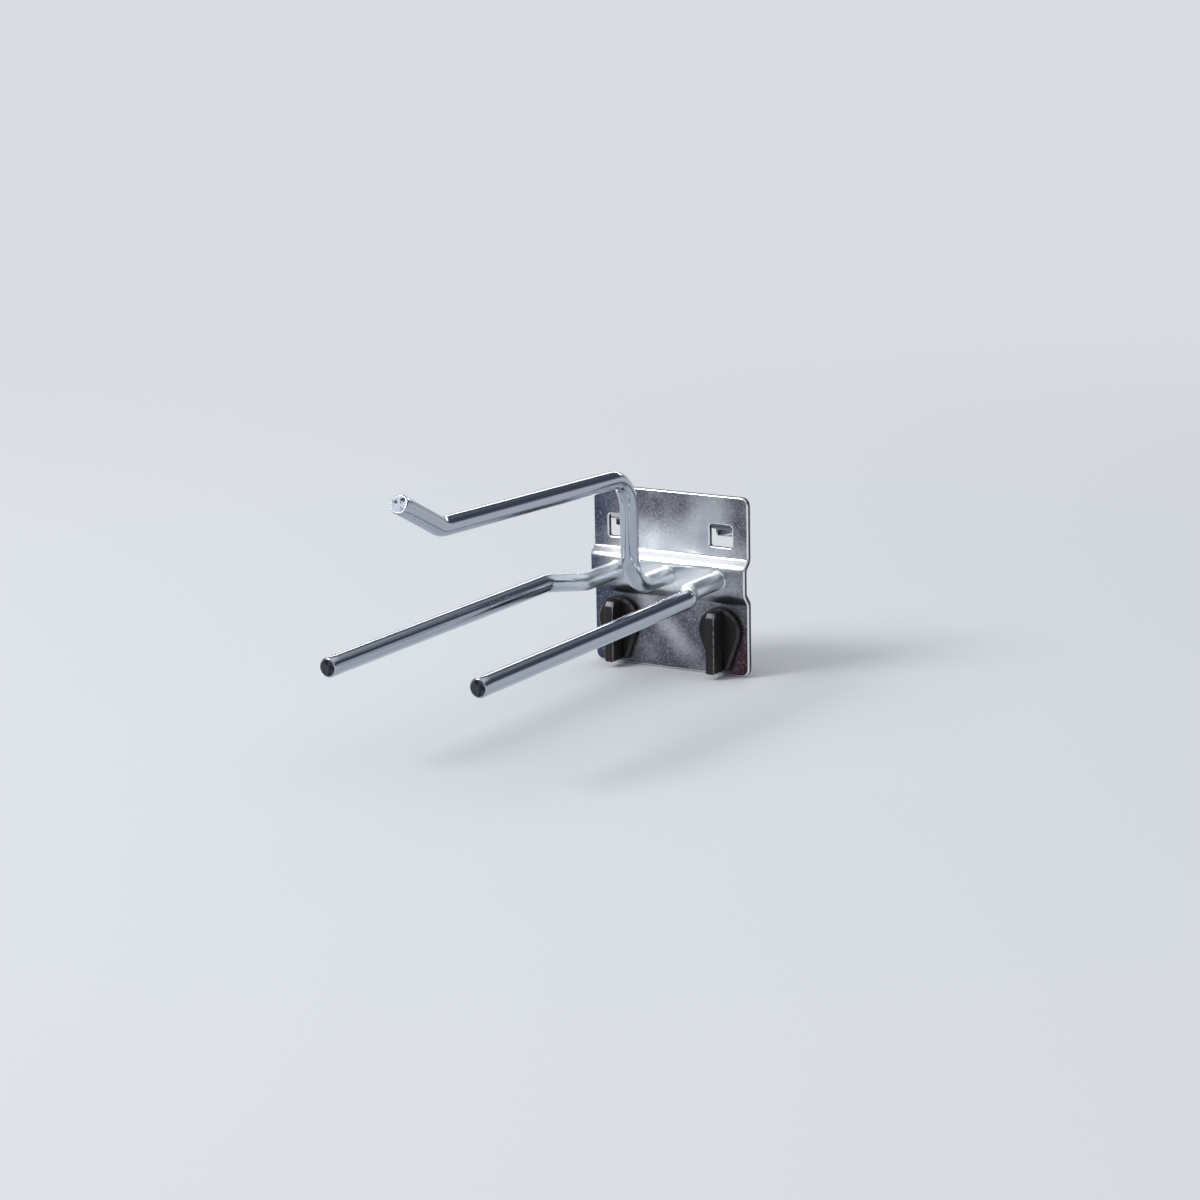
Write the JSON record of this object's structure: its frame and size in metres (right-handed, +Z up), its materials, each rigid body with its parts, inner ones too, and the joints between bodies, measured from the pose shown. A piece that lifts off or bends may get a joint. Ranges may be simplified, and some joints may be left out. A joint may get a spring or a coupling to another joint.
{
  "type": "pliers holder",
  "caption": "Pliers holder for a perforated tool panel: zinc-plated plate with parallel wire arms below, a turned-up wire arm above, rear hook tabs and black turn locks.",
  "frame": {"origin": "on the face of the panel, which is the plate's flat back, midway between the axes of the two turn locks", "axes": "+X to the right as seen by a user in front, +Y into the panel, +Z up"},
  "size_m": [0.0584, 0.165, 0.0863],
  "materials": {
    "zinc_plate": "bright zinc plating, satin, fine speckle",
    "zinc_wire": "bright zinc plating, glossy",
    "black_plastic": "brown-black, matte with fine streaks"
  },
  "bodies": {
    "holder": {"back_plate": "zinc_plate", "left_arm": "zinc_wire", "right_arm": "zinc_wire", "upper_arm": "zinc_wire"},
    "left_lock": {"left_turn_lock": "black_plastic"},
    "right_lock": {"right_turn_lock": "black_plastic"}
  },
  "joints": [
    {"name": "left_lock_turn", "type": "hinge", "parent": "holder", "child": "left_lock", "pos_m": [-0.019, 0, 0], "axis": [0, 1, 0], "range_deg": [-90, 90]},
    {"name": "right_lock_turn", "type": "hinge", "parent": "holder", "child": "right_lock", "pos_m": [0.019, 0, 0], "axis": [0, 1, 0], "range_deg": [-90, 90]}
  ]
}
